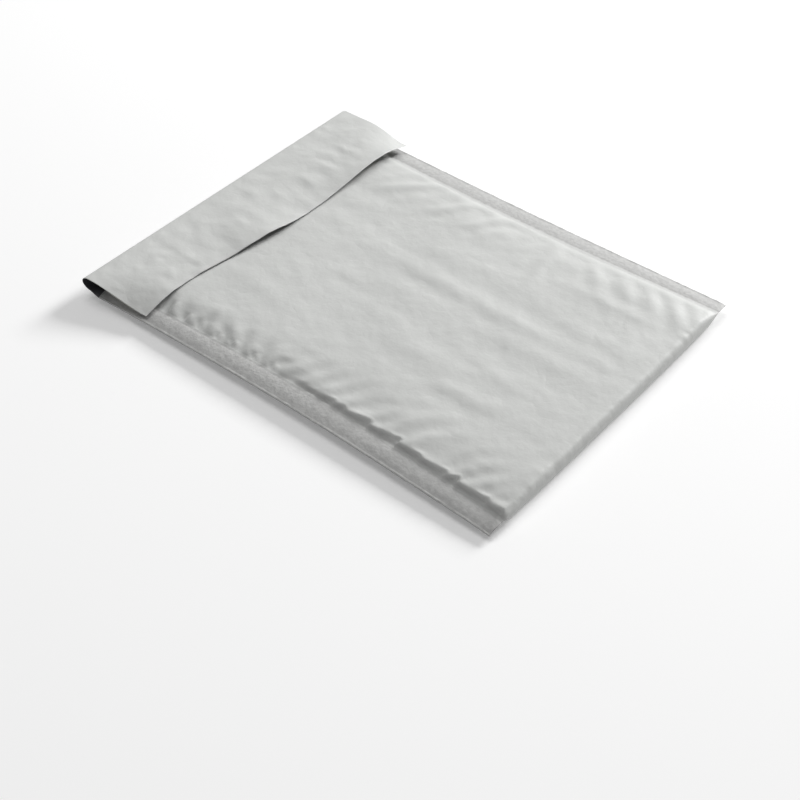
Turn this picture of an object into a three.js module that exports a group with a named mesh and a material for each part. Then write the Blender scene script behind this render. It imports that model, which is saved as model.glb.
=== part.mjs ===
// A padded mailing bag, empty and lying flat, with its flap folded over the top.
// X runs across the mailer, Y along it towards the fold of the flap, and Z up.
// Lengths are in millimetres, and the origin is under the middle of the bag.

import * as THREE from "three";
import { ParametricGeometry } from "three/addons/geometries/ParametricGeometry.js";
import {
  mergeGeometries,
  mergeVertices,
} from "three/addons/utils/BufferGeometryUtils.js";

// The bag as it lies
const mailerWidth = 165;
const foldedLength = 218;
const bodyHeight = 8.3;

// The outer film, one web that makes both panels and the flap
const filmThickness = 0.1;
const endRadius = 2.6; // how far the rounded bottom fold reaches along the bag
const cornerPull = 1.5; // how far the bottom corners draw in from the end of the bag
const pullReach = 10; // the length over which that drawing in fades

// The welded bands down both sides
const weldWidth = 10;
const weldHeightLeft = 4; // at both ends of the bag
const weldHeightRight = 5;
const weldHeightMiddle = 5.8; // half-way along the bag
const weldRisePower = 0.6;
const weldDroop = 1; // how far the cut edge of a band sinks
const droopPower = 2.2;
const sideDraw = 1.8; // half-way along, the cut edges draw in by this much
const seamDraw = 1.3; // and the inner edges of the bands by this much
const seamSpread = 2.5; // at the ends of the bag the inner edges lie this much further out
const footReach = 6; // from the weld to the flat of the back panel

// The front panel's shoulders: each is part steep and part long slope, from the weld inward
const leftSteepShare = 0.6;
const leftSteepReachTop = 16;
const leftSteepReachLow = 3.5;
const leftSlopeReachTop = 22;
const leftSlopeReachLow = 24;
const leftSlopeFrom = 15; // the left shoulder changes from here towards the bottom
const leftSlopeLength = 40;
const rightSteepShare = 0.7;
const rightSteepReach = 3;
const rightSlopeReach = 20;

// Towards the mouth the bag rises off the floor into its fold
const mouthRiseFrom = 58;
const mouthRiseBack = 2.8;
const mouthRiseFront = 1.2;

// The gathers that the welds leave in the front panel
const puckerPitch = 7.3;
const puckerHeight = 0.9;
const puckerReach = 15;

// Soft waves over the front panel
const waveHeight = 0.35;
const waveLength = 76;
const waveDrift = 0.8;
const waveDriftLength = 220;

// The mouth and the folded flap
const mouthSetback = 7.5; // the front panel's edge lies this far inside the fold
const loopReach = 4.6; // from the fold's end to where it starts to turn
const foldSkew = 1.6; // the fold lies this much further out at the left side than at the right
const loopBottomLeft = 4.2;
const loopBottomRight = 3.4;
const loopTopLeft = 10.4;
const loopTopRight = 11.4;
const flapDepthLeft = 34.6; // fold to free edge where the flap is shortest
const flapDepthRight = 41.5;
const flapStepStart = 22; // where the free edge leaves its short end, from the left side
const flapStepLength = 65;
const flapTaper = 2.6; // the free corner on the left lies this far in from the side
const drapeReach = 18; // the flap comes down to the welded bands over this width
const flapHoldLeft = 0; // share of the flap's run in which it keeps the height of the fold
const flapHoldRight = 0.4;

// The two stretches where the flap's free edge stands up
const innerLiftPlace = -12;
const innerLiftReach = 26;
const innerLiftHeight = 2.4;
const outerLiftPlace = 60;
const outerLiftReach = 42;
const outerLiftHeight = 3.2;

// The adhesive strip on the flap, and the paper that covers it
const adhesiveMargin = 8; // from the flap's free edge
const adhesiveWidth = 12;
const adhesiveThickness = 0.1;
const linerOverhang = 3; // the paper is wider than the adhesive by this on each edge
const linerThickness = 0.1;
const layerGap = 0.1; // air between the layers under the flap

// The bubble lining, a folded web open at the mouth
const liningClearance = 0.3;
const liningInset = 2.2; // from the welds
const liningSetback = 3; // inside the mouth
const pocketGap = 0.6; // between the two leaves
const pocketFloor = 5; // from the bottom of the bag to the bottom of the pocket

const halfWidth = mailerWidth / 2;
const halfLength = foldedLength / 2;
const bodyHalf = halfWidth - weldWidth;
const mouthY = halfLength - mouthSetback;
const loopStartY = halfLength - loopReach;
const loopRise = (loopTopLeft + loopTopRight - loopBottomLeft - loopBottomRight) / 4;
const loopArc = (Math.PI / 2) * (loopRise + loopReach);
const foldArc = (Math.PI / 2) * endRadius;
const flapDepth = (flapDepthLeft + flapDepthRight) / 2;
const flapStandoff =
  filmThickness + adhesiveThickness + linerThickness + 3.5 * layerGap;

// Distances along the film from the bottom fold: the front panel is negative, the back positive
const mouthAt = alongBag(mouthY);
const loopStartAt = alongBag(loopStartY);
const loopEndAt = loopStartAt + loopArc;
const flapEndAt = loopEndAt + flapDepth - loopReach;

function alongBag(y) {
  return y + halfLength - endRadius + foldArc;
}

function share(value) {
  return Math.min(Math.max(value, 0), 1);
}

function ease(value) {
  const t = share(value);
  return t * t * (3 - 2 * t);
}

// Sine-shaped rise from 0 at a seam to 1 at the given distance from it
function rise(distance, reach) {
  return Math.sin((Math.PI / 2) * share(distance / reach));
}

// 0 over the flat part of the bag, rising to 1 at the mouth
function mouthRise(y) {
  return ease((y - mouthRiseFrom) / (mouthY - mouthRiseFrom));
}

function acrossShare(x) {
  return (x + halfWidth) / mailerWidth;
}

// 1 half-way along the bag, falling to 0 at its ends
function middleShare(y) {
  return Math.sin(Math.PI * share((y + halfLength) / foldedLength));
}

// Height at which the two panels meet along the inner edges of the welds
function seamLevel(x, y) {
  const ends = THREE.MathUtils.lerp(weldHeightLeft, weldHeightRight, acrossShare(x));
  const risen = Math.pow(middleShare(y), weldRisePower);
  return THREE.MathUtils.lerp(ends, weldHeightMiddle, risen);
}

// The same with the droop of the bands towards their cut edges
function weldLevel(x, y) {
  const out = share((Math.abs(x) - bodyHalf) / weldWidth);
  return seamLevel(x, y) - weldDroop * Math.pow(out, droopPower);
}

// Where a point of a panel lies across the bag once the sides have drawn in
function drawnIn(x, y) {
  const middle = middleShare(y);
  const seamShift = THREE.MathUtils.lerp(seamSpread, -seamDraw, middle);
  const body = Math.min(Math.abs(x), bodyHalf) / bodyHalf;
  const band = Math.max(Math.abs(x) - bodyHalf, 0) / weldWidth;
  const bandWidth = weldWidth - seamShift - sideDraw * middle;
  return Math.sign(x) * (body * (bodyHalf + seamShift) + band * bandWidth);
}

// 1 over the open part of the bag, and 0 under the flap
function openShare(y) {
  return ease((halfLength - flapDepthRight - y) / (2 * puckerPitch));
}

function waves(x, y) {
  const drift = waveDrift * Math.sin((2 * Math.PI * y) / waveDriftLength);
  const swell = Math.sin((2 * Math.PI * x) / waveLength + drift);
  return waveHeight * swell * openShare(y);
}

function puckers(x, y) {
  const inset = bodyHalf - Math.abs(x);
  const hump = Math.sin(Math.PI * share(inset / puckerReach));
  const crest = Math.cos((2 * Math.PI * (y + halfLength)) / puckerPitch);
  const uneven = 0.75 + 0.25 * Math.sin(y / puckerPitch + Math.sign(x));
  return puckerHeight * hump * crest * uneven * openShare(y);
}

// Share of its full height that the front panel has reached at a place
function frontShare(x, y) {
  const inset = bodyHalf - Math.abs(x);
  if (x > 0) {
    const slope = rise(inset, rightSlopeReach);
    return THREE.MathUtils.lerp(slope, rise(inset, rightSteepReach), rightSteepShare);
  }
  const low = ease((leftSlopeFrom - y) / leftSlopeLength);
  const slopeReach = THREE.MathUtils.lerp(leftSlopeReachTop, leftSlopeReachLow, low);
  const steepReach = THREE.MathUtils.lerp(leftSteepReachTop, leftSteepReachLow, low);
  return THREE.MathUtils.lerp(rise(inset, slopeReach), rise(inset, steepReach), leftSteepShare);
}

// How far the front panel stands above the level of the welds
function frontRise(x, y) {
  const top = bodyHeight + mouthRiseFront * mouthRise(y) + waves(x, y);
  const full = top - weldLevel(x, y) - filmThickness;
  return filmThickness + full * frontShare(x, y);
}

// How far the back panel lies below it
function backDrop(x, y) {
  const full = weldLevel(x, y) - mouthRiseBack * mouthRise(y) - filmThickness;
  return filmThickness + full * rise(bodyHalf - Math.abs(x), footReach);
}

// The place along the bag of a point on a panel, and how far round the bottom fold it is
function bend(along, radius) {
  const turn = Math.min(Math.abs(along) / radius, Math.PI / 2);
  const past = Math.max(Math.abs(along) - (Math.PI / 2) * radius, 0);
  return { reach: radius * (1 - Math.cos(turn)) + past, opening: Math.sin(turn) };
}

function pulled(x, reach) {
  const corner = Math.pow(Math.abs(x) / halfWidth, 4);
  return cornerPull * corner * Math.exp(-reach / pullReach);
}

function panelPoint(x, along) {
  const { reach, opening } = bend(along, endRadius);
  const y = reach - halfLength;
  const level = weldLevel(x, y);
  const height =
    along < 0
      ? level + opening * (frontRise(x, y) + puckers(x, y))
      : level - opening * backDrop(x, y);
  return new THREE.Vector3(drawnIn(x, y), y + pulled(x, reach), height);
}

function foldStartY(x) {
  return loopStartY + foldSkew * (1 - acrossShare(x));
}

function loopBottom(x) {
  return THREE.MathUtils.lerp(loopBottomLeft, loopBottomRight, acrossShare(x));
}

function loopTop(x) {
  return THREE.MathUtils.lerp(loopTopLeft, loopTopRight, acrossShare(x));
}

// The back panel past the mouth goes on to the start of the fold
function lipPoint(x, along) {
  const onward = (along - mouthAt) / (loopStartAt - mouthAt);
  const mouth = panelPoint(x, mouthAt);
  const y = THREE.MathUtils.lerp(mouthY, foldStartY(x), onward);
  const z = THREE.MathUtils.lerp(mouth.z, loopBottom(x), ease(onward));
  return new THREE.Vector3(THREE.MathUtils.lerp(mouth.x, x, onward), y, z);
}

function loopPoint(x, along) {
  const turn = (Math.PI * (along - loopStartAt)) / loopArc;
  const y = foldStartY(x) + loopReach * Math.sin(turn);
  const z = THREE.MathUtils.lerp(loopBottom(x), loopTop(x), (1 - Math.cos(turn)) / 2);
  return new THREE.Vector3(x, y, z);
}

function freeEdge(x) {
  const step = ease((x + halfWidth - flapStepStart) / flapStepLength);
  return halfLength - THREE.MathUtils.lerp(flapDepthLeft, flapDepthRight, step);
}

function liftNear(x, place, reach, height) {
  return height * ease(1 - Math.abs(x - place) / reach);
}

function edgeLift(x) {
  const inner = liftNear(x, innerLiftPlace, innerLiftReach, innerLiftHeight);
  return inner + liftNear(x, outerLiftPlace, outerLiftReach, outerLiftHeight);
}

function flapPoint(x, along) {
  const run = (along - loopEndAt) / (flapEndAt - loopEndAt);
  const y = THREE.MathUtils.lerp(foldStartY(x), freeEdge(x), run);
  const level = seamLevel(x, y);
  const top = bodyHeight + mouthRiseFront * mouthRise(y);
  const drape = rise(halfWidth - Math.abs(x), drapeReach);
  const resting = level + (top - level) * drape + flapStandoff;
  const hold = THREE.MathUtils.lerp(flapHoldLeft, flapHoldRight, acrossShare(x));
  const fallen = ease((run - hold) / (1 - hold));
  const settled = THREE.MathUtils.lerp(loopTop(x), resting, fallen);
  const inward = flapTaper * run * (1 - acrossShare(x)) ** 2;
  return new THREE.Vector3(x + inward, y, settled + edgeLift(x) * run * run);
}

// Outer face of the film, anywhere on its web
function filmPoint(x, along) {
  if (along <= mouthAt) return panelPoint(x, along);
  if (along <= loopStartAt) return lipPoint(x, along);
  if (along <= loopEndAt) return loopPoint(x, along);
  return flapPoint(x, along);
}

// A point under the film's outer face, square to it
function underFilm(x, along, depth) {
  const step = 0.01;
  const across = filmPoint(x + step, along).sub(filmPoint(x - step, along));
  const onward = filmPoint(x, along + step).sub(filmPoint(x, along - step));
  const outward = onward.cross(across).normalize();
  return filmPoint(x, along).addScaledVector(outward, -depth);
}

// Inner face of the film: in the welded bands the two panels meet at mid-height
function filmInside(x, along) {
  const welded = Math.abs(x) > bodyHalf - filmThickness;
  if (!welded || along > mouthAt) return underFilm(x, along, filmThickness);
  const { reach } = bend(along, endRadius);
  const inside = Math.max(reach, filmThickness);
  const y = inside - halfLength;
  return new THREE.Vector3(drawnIn(x, y), y + pulled(x, inside), weldLevel(x, y));
}

// The lining follows the film a clearance inside it, and stays under the gathers
function liningOutside(x, along) {
  const gap = filmThickness + liningClearance;
  const { reach, opening } = bend(along, endRadius - gap);
  const y = reach + gap - halfLength;
  const inset = bodyHalf - Math.abs(x);
  const hollows = puckerHeight * Math.sin(Math.PI * share(inset / puckerReach));
  const height =
    along < 0
      ? opening * (frontRise(x, y) - gap - hollows)
      : -opening * (backDrop(x, y) - gap);
  const inward = pulled(x, reach + gap);
  return new THREE.Vector3(drawnIn(x, y), y + inward, weldLevel(x, y) + height);
}

// The two leaves face each other across the pocket
function liningInside(x, along) {
  const outside = liningOutside(x, along);
  const turn = bend(along, endRadius - filmThickness - liningClearance).opening;
  const floor = pocketFloor - (pocketGap / 2) * Math.cos(Math.asin(turn));
  const y = Math.max(outside.y, floor - halfLength);
  const middle = weldLevel(x, y) + (frontRise(x, y) - backDrop(x, y)) / 2;
  const height = middle - Math.sign(along) * (pocketGap / 2) * turn;
  return new THREE.Vector3(drawnIn(x, y), y, height);
}

// A grid of faces through the given stations, looking along dU x dV
function patch(us, vs, point) {
  const at = (list, t) => list[Math.round(t * (list.length - 1))];
  return new ParametricGeometry(
    (u, v, target) => target.copy(point(at(us, u), at(vs, v))),
    us.length - 1,
    vs.length - 1,
  );
}

// The strip of faces between two edges, each a function of the stations
function strip(stations, from, to) {
  return patch(stations, [from, to], (station, edge) => edge(station));
}

// The four narrow faces round a layer that lies between an outer and an inner face
function layerEdges(xs, alongs, outside, inside) {
  const left = xs[0];
  const right = xs[xs.length - 1];
  const first = alongs[0];
  const last = alongs[alongs.length - 1];
  return [
    strip(alongs, (a) => outside(right, a), (a) => inside(right, a)),
    strip(alongs, (a) => inside(left, a), (a) => outside(left, a)),
    strip(xs, (x) => outside(x, first), (x) => inside(x, first)),
    strip(xs, (x) => inside(x, last), (x) => outside(x, last)),
  ];
}

// One closed surface from patches that share their edges
function closed(patches) {
  const joined = mergeGeometries(patches);
  joined.deleteAttribute("normal");
  joined.deleteAttribute("uv");
  const merged = mergeVertices(joined, 1e-3);
  const corners = merged.index.array;
  const kept = [];
  for (let i = 0; i < corners.length; i += 3) {
    const [a, b, c] = corners.slice(i, i + 3);
    if (a !== b && b !== c && c !== a) kept.push(a, b, c);
  }
  merged.setIndex(kept);
  merged.computeVertexNormals();
  return merged;
}

function layer(xs, alongs, outside, inside) {
  return closed([
    patch(alongs, xs, (a, x) => outside(x, a)),
    patch(xs, alongs, inside),
    ...layerEdges(xs, alongs, outside, inside),
  ]);
}

// Stations spread evenly after the first value, up to and with the last
function spread(first, last, count) {
  return Array.from({ length: count }, (_, i) => first + ((last - first) * (i + 1)) / count);
}

function mirrored(positives) {
  return [...positives.map((x) => -x).reverse(), 0, ...positives];
}

// Stations across the body, from its middle to the welds, with the gathers' widths picked out
const acrossSteps = 3;
const bodyColumns = [
  ...spread(0, bodyHalf - puckerReach, acrossSteps),
  bodyHalf - puckerReach / 2,
  bodyHalf - puckerReach / 5,
  bodyHalf - puckerReach / 10,
];
const bodyStations = mirrored([...bodyColumns, bodyHalf]);
const fullStations = mirrored([...bodyColumns, bodyHalf, halfWidth]);

// Stations along a panel: round the bottom fold, then each crest and hollow, then under the flap
const turnSteps = 3;
const coveredSteps = 4;
const foldStations = spread(0, foldArc, turnSteps);
const coveredFrom = alongBag(halfLength - flapDepthRight);
const coveredStations = spread(coveredFrom, mouthAt, coveredSteps);

function gatherStations() {
  const stations = [];
  const half = puckerPitch / 2;
  const first = Math.ceil((endRadius + half / 2) / half);
  for (let i = first; alongBag(i * half - halfLength) < coveredFrom - half / 2; i += 1) {
    stations.push(alongBag(i * half - halfLength));
  }
  return stations;
}

const panelStations = [...foldStations, ...gatherStations(), coveredFrom, ...coveredStations];

// Stations on the flap: the lip, round the loop, then the edges of the adhesive and its paper
const loopSteps = 8;
const linerNear = flapEndAt - adhesiveMargin + linerOverhang;
const linerFar = linerNear - adhesiveWidth - 2 * linerOverhang;
const adhesiveNear = linerNear - linerOverhang;
const adhesiveFar = linerFar + linerOverhang;
const adhesiveStations = [
  adhesiveFar,
  (adhesiveFar + adhesiveNear) / 2,
  adhesiveNear,
];
const linerStations = [linerFar, ...adhesiveStations, linerNear];
const flapStations = [
  ...spread(mouthAt, loopStartAt, 2),
  ...spread(loopStartAt, loopEndAt, loopSteps),
  (loopEndAt + linerFar) / 2,
  ...linerStations,
  flapEndAt,
];

function outerPouch() {
  const panels = mirrored(panelStations);
  const web = [...panels, ...flapStations];
  return closed([
    patch(web, fullStations, (a, x) => filmPoint(x, a)),
    patch(bodyStations, panels, filmInside),
    patch(fullStations, [mouthAt, ...flapStations], filmInside),
    ...layerEdges(fullStations, web, filmPoint, filmInside),
  ]);
}

function bubbleLining() {
  const outermost = bodyHalf - liningInset;
  const columns = bodyColumns.filter((x) => x < outermost - filmThickness);
  const open = coveredFrom - foldArc;
  const leafSteps = 7;
  const inFront = alongBag(mouthY - liningSetback);
  const stations = [
    ...foldStations.map((a) => (a * (endRadius - filmThickness - liningClearance)) / endRadius),
    ...spread(foldArc, foldArc + open, leafSteps),
    ...coveredStations.slice(0, -1),
    inFront,
  ];
  return layer(mirrored([...columns, outermost]), mirrored(stations), liningOutside, liningInside);
}

// A layer under the folded flap, at a depth below the film's outer face
function underFlap(stations, depth, thickness) {
  return layer(
    fullStations,
    stations,
    (x, a) => underFilm(x, a, depth),
    (x, a) => underFilm(x, a, depth + thickness),
  );
}

function adhesiveStrip() {
  return underFlap(adhesiveStations, filmThickness + layerGap, adhesiveThickness);
}

function releaseLiner() {
  const depth = filmThickness + adhesiveThickness + 2 * layerGap;
  return underFlap(linerStations, depth, linerThickness);
}

function part(name, geometry, color, roughness) {
  const material = new THREE.MeshStandardMaterial({ color, roughness, metalness: 0 });
  const mesh = new THREE.Mesh(geometry, material);
  mesh.name = name;
  return mesh;
}

const group = new THREE.Group();
group.add(part("outer_pouch", outerPouch(), 0xc8cac8, 0.45));
group.add(part("bubble_lining", bubbleLining(), 0xe4e6e4, 0.3));
group.add(part("adhesive_strip", adhesiveStrip(), 0xe9e4d2, 0.35));
group.add(part("release_liner", releaseLiner(), 0xf2f2ee, 0.6));

export default group;
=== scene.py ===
"""A padded mailing bag, empty and lying flat, with its flap folded over the front.

The shapes are worked out in millimetres, and in metres once they are meshes.
X runs across the bag, Y along it towards the fold of the flap, and Z up.
"""

import math

import bpy
import numpy as np
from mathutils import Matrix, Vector


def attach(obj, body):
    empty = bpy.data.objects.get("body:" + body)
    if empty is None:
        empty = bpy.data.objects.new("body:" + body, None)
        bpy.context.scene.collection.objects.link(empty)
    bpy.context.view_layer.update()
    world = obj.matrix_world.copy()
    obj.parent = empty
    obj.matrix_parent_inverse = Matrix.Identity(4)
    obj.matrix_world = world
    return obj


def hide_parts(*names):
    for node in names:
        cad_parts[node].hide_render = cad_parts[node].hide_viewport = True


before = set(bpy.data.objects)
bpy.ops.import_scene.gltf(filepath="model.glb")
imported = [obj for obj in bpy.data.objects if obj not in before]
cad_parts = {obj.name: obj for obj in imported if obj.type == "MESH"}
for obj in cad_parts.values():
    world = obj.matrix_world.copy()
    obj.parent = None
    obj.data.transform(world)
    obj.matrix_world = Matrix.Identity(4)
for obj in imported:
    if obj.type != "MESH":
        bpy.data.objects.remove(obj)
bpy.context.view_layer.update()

MM = 0.001
TINY = 1e-9
SAME = 0.01  # stations closer to each other than this are the same

# The bag as it lies
WIDTH = 165.0
LENGTH = 218.0
BODY_HEIGHT = 8.3
HALF_WIDTH = WIDTH / 2
HALF_LENGTH = LENGTH / 2

# The outer film, which is thinner beside the welds and along the flap's free edge
FILM = 0.1
THIN_SHARE = 0.35
THIN_REACH = 3.0
END_RADIUS = 2.6
CORNER_PULL = 1.5
CORNER_POWER = 4
PULL_REACH = 10.0

# The welded bands down both sides. A pair is for the left side and the right side
WELD_WIDTH = 10.0
WELD_HEIGHT_ENDS = (4.0, 5.0)
WELD_HEIGHT_MIDDLE = 5.8
WELD_RISE_POWER = 0.6
WELD_DROOP = (1.9, 1.0)
DROOP_POWER = 2.2
SIDE_DRAW = 1.8
SEAM_DRAW = 1.3
SEAM_SPREAD = 2.5
FOOT_REACH = 6.0
BODY_HALF = HALF_WIDTH - WELD_WIDTH

# The front panel's shoulders: a crisp one on the right, a broad sloping one on the left.
# A pair is for the upper part of the left side and for the part towards the bottom
LEFT_STEEP_SHARE = (0.50, 0.32)
LEFT_STEEP_REACH = (14.0, 3.5)
LEFT_SLOPE_REACH = (22.0, 24.0)
LEFT_SLOPE_FROM = 15.0
LEFT_SLOPE_LENGTH = 40.0
RIGHT_STEEP_SHARE = 0.38
RIGHT_STEEP_REACH = 4.5
RIGHT_SLOPE_REACH = 18.0

# Beside the welds, painted shade darkens the film: a line at the seam, fading out over the band.
# The upper left has less of it
SEAM_SHADE_INSET = 1.0
SEAM_SHADE_WIDTH = 1.5
SEAM_SHADE_FADE_SHARE = 0.45
SEAM_SHADE_FADE_REACH = 4.5
UPPER_LEFT_SHADE = 0.25
SHADE_CHANGE_FROM = 20.0
SHADE_CHANGE_LENGTH = 30.0
WELD_MARK_REACH = 0.5

# Along the cut edges of the bands: a small melted bead, and an edge that is a little uneven
BEAD_HEIGHT = 0.22
BEAD_INSET = 0.45
BEAD_WIDTH = 0.35
BEAD_UNEVEN = 0.5
BEAD_GRAIN = 1.6
EDGE_UNEVEN = 0.10
EDGE_GRAIN = 1.5
EDGE_REACH = 1.0
SIDES_APART = 20  # in the noise, so that the two edges differ

# Ridges that run in from the welds. A pair is the value in the upper part and what is added to
# it towards the bottom, and a spread is how far chance takes a value from there
GATHERS_END = -101.0
LEFT_GATHERS = dict(
    seed=11, side=-1, top=68.0, change_from=20.0, change_length=30.0,
    tilt=(8, -45), tilt_spread=8, length=(8, 8), length_spread=(-2, 7),
    height=(0.30, -0.08), height_spread=(-0.15, 0.15), inset=(0.3, 2.5), width=(1.5, 1.1),
    pitch=(9.0, 3.0), pitch_spread=(0.75, 1.25),
)
RIGHT_GATHERS = dict(
    seed=5, side=1, top=60.0, change_from=-34.0, change_length=12.0,
    tilt=(-33, 66), tilt_spread=5, length=(7, 14), length_spread=(-2, 5),
    height=(0.15, 0.08), height_spread=(-0.1, 0.1), inset=(4.5, 0), width=(1.6, 0.9),
    pitch=(8.8, 2.4), pitch_spread=(0.75, 1.3),
)

# Short dents along the upper part of the left weld, and the small ridge below each
NOTCHES_TOP = 70.0
NOTCH_INSET = 0.3
NOTCH_REACH = (3.5, 7.0)
NOTCH_LEAN = (0.5, 3.0)
NOTCH_DEPTH = 0.65
NOTCH_WIDTH = 0.8
NOTCH_PITCH = 9.0
NOTCH_PITCH_SPREAD = (0.6, 1.35)
RIDGE_BELOW = (2.0, 2.5)  # at the weld and at its inner end
RIDGE_HEIGHT = 0.50
RIDGE_WIDTH = 1.0

# A groove along the lower part of the left weld, with uneven teeth and a soft lip inside them
GROOVE_TOP = 10.0
GROOVE_FADE = 30.0
GROOVE_DEPTH = 1.3
GROOVE_START_DEPTH = 0.60
GROOVE_LEAST_DEPTH = 0.1
GROOVE_WIDTH = 0.8
GROOVE_SLOPE = 1.2
GROOVE_FLOOR = 0.15  # share of the way from the weld's level down to the back panel
GROOVE_UNEVEN = ((0.30, 3.0, 37), (0.25, 11.0, 39))
TOOTH_LENGTH = (5, 15)
TOOTH_REACH = (0.6, 3.0)
TOOTH_POWER = 1.7
LIP_HEIGHT = 0.35
LIP_START_SHARE = 0.3
LIP_AWAY = 1.4
LIP_WIDTH = 1.1

# Small crimps along the bottom fold
CRIMP_HEIGHT = 0.16
CRIMP_SIZE = 2.3
CRIMP_REACH = 3.5

# Long creases in the front panel: start, end, height and width
LONG_CREASES = (
    ((13.5, 44), (13.0, -96), 0.34, 4.0),
    ((-13.0, 40), (-13.5, -40), -0.20, 0.9),
    ((-35.6, -42), (-35.6, -74), 0.45, 2.4),
    ((-18.0, -48), (-18.5, -78), 0.28, 1.1),
    ((-38.0, 74), (-37.0, 8), 0.25, 5.0),
    ((36.0, -36.8), (70.5, -32.2), 0.36, 1.5),
    ((48.0, 9.0), (70.0, -4.0), 0.40, 2.0),
    ((48.0, 27.0), (69.0, 13.0), 0.35, 2.2),
    ((46.0, 57.0), (69.0, 35.0), 0.35, 2.6),
    ((30.0, 24.0), (34.0, -72.0), 0.22, 6.0),
    ((-26.0, 0.0), (-30.0, -92.0), 0.22, 6.0),
    ((2.0, -40.0), (4.0, -102.0), 0.26, 4.0),
    ((47.5, -46.0), (46.5, -98.0), 0.30, 4.0),
    ((24.0, -60.0), (27.0, -103.0), 0.28, 4.0),
)
CREASE_POWER = 0.7

# In the front panel: small dents (height, grain and seed), soft swells, the faint print of the
# bubbles, and crumples in its left side
FINE_DENTS = ((0.05, 6.5, 1), (0.024, 3.2, 2), (0.010, 1.7, 6))
SWELL_HEIGHT = 0.10
SWELL_GRAIN = 14
SWELL_STRETCH = (1.6, 0.5)
BUBBLE_PRINT = 0.05
CRUMPLE_HEIGHT = 0.10
CRUMPLE_GRAIN = 4.2
CRUMPLE_SLANT = 0.4
CRUMPLE_STRETCH = 0.8
CRUMPLE_INSET = 9
CRUMPLE_WIDTH = 8

# Towards the mouth the bag rises off the floor into its fold
MOUTH_RISE_FROM = 58.0
MOUTH_RISE_BACK = 2.8
MOUTH_RISE_FRONT = 1.2

# The mouth and the folded flap. A pair is for the left side and the right side
MOUTH_SETBACK = 7.5
LOOP_REACH = 4.6
FOLD_SKEW = 1.6
LOOP_BOTTOM = (4.2, 3.4)
LOOP_TOP = (10.4, 11.4)
FLAP_DEPTH_LEFT = 34.6
FLAP_DEPTH_RIGHT = 41.5
FLAP_STEP_START = 22.0
FLAP_STEP_LENGTH = 65.0
FLAP_TAPER = 2.6
DRAPE_REACH = 18.0
FLAP_HOLD = (0.0, 0.4)

# Where the flap's free edge stands up: place, reach and height
EDGE_LIFTS = ((-12.0, 26.0, 2.4), (60.0, 42.0, 3.2))

# Folds in the flap, as distances across and back from its free edge
FLAP_CREASES = (
    ((-14.0, 8.0), (-13.0, 21.0), 0.30, 0.9),
    ((12.0, 8.5), (12.5, 20.0), 0.30, 0.9),
    ((-12.0, 20.5), (11.0, 20.0), 0.32, 1.0),
    ((-12.0, 8.0), (11.0, 8.2), 0.26, 1.0),
    ((29.0, 8.0), (29.5, 20.0), 0.34, 1.1),
    ((42.0, 8.5), (41.5, 21.0), 0.30, 1.2),
    ((57.0, 7.5), (57.5, 20.0), 0.34, 1.2),
    ((-20.0, 13.0), (-17.0, 19.0), 0.28, 1.3),
    ((-46.0, 2.0), (-44.0, 24.0), 0.14, 2.0),
    ((-62.0, 6.0), (-54.0, 12.0), 0.26, 1.5),
    ((-30.0, 3.0), (-34.0, 16.0), 0.24, 1.6),
)
STRIP_STEP = 0.12
STRIP_STEP_WIDTH = 1.2
FLAP_MOTTLE = ((0.07, 6, 8),)
FLAP_CALM_REACH = 6

# The layers under the flap
ADHESIVE_MARGIN = 8.0
ADHESIVE_WIDTH = 12.0
ADHESIVE_THICKNESS = 0.1
LINER_OVERHANG = 3.0
LINER_THICKNESS = 0.1
LAYER_GAP = 0.1

# The bubble lining
LINING_CLEARANCE = 0.3
LINING_INSET = 2.2
LINING_SETBACK = 3.0
LINING_SPACING = (2.6, 2.2)  # of its stations across and along
POCKET_GAP = 0.6
POCKET_FLOOR = 5.0
BUBBLE_PITCH = 10.8
BUBBLE_RADIUS = 4.9
BUBBLE_ROW = BUBBLE_PITCH * math.sqrt(3) / 2
BUBBLE_MARGIN = BUBBLE_RADIUS + 0.5
WEB_THICKNESS = 0.1

# The domes of the lining. A ring, from the rim of a bubble to its top, is a share of the radius
# and a share of the height
DOME_SIDES = 14
DOME_RINGS = ((1.0, 0.02), (0.93, 0.40), (0.75, 0.70), (0.45, 0.86), (0.18, 0.90))
DOME_CLEARANCE = 0.12

# How loose the film is: real length over room, less one, at the top and the bottom of the bag
LEFT_SLACK = (0.016, 0.013)
RIGHT_SLACK = (0.006, 0.007)
SLACK_REACH = 8.0
SLACK_TOP = 84
SLACK_FADE = 16
BODY_SLACK = 0.005
BODY_CROSS_SLACK = 0.004
FLAP_SLACK = 0.012
FLAP_CROSS_SLACK = 0.007

# Which way the slack leans beside the welds. The left side changes over a long stretch
GATHER_LEAN = math.radians(33)
GATHER_LEAN_FROM = 20
GATHER_LEAN_LENGTH = 60
DENT_LEAN = math.radians(30)

# Faint folds that the settling starts from: height, grain across, grain along and seed
FIRST_FOLDS = ((1.0, 9, 4.5, 4), (0.6, 4.5, 2.4, 9))
FIRST_FOLD_HEIGHT = 0.25
FIRST_FOLD_INSET = 3
FIRST_FOLD_REACH = 16

# In the flap: height, grain and seed. It is crumpled all over on the left and less on the right
FIRST_CRUMPLES = ((1.0, 5, 21), (0.6, 2.6, 22))
FIRST_CRUMPLE_HEIGHT = 0.14
CRUMPLED_LEVEL = 1.3
CRUMPLED_FALL = 1.1
CRUMPLED_GRAIN = 22
FLAP_DENT_HEIGHT = 0.05
FLAP_DENT_GRAIN = 2.8
FLAP_DENT_LEAST = 0.4

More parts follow.
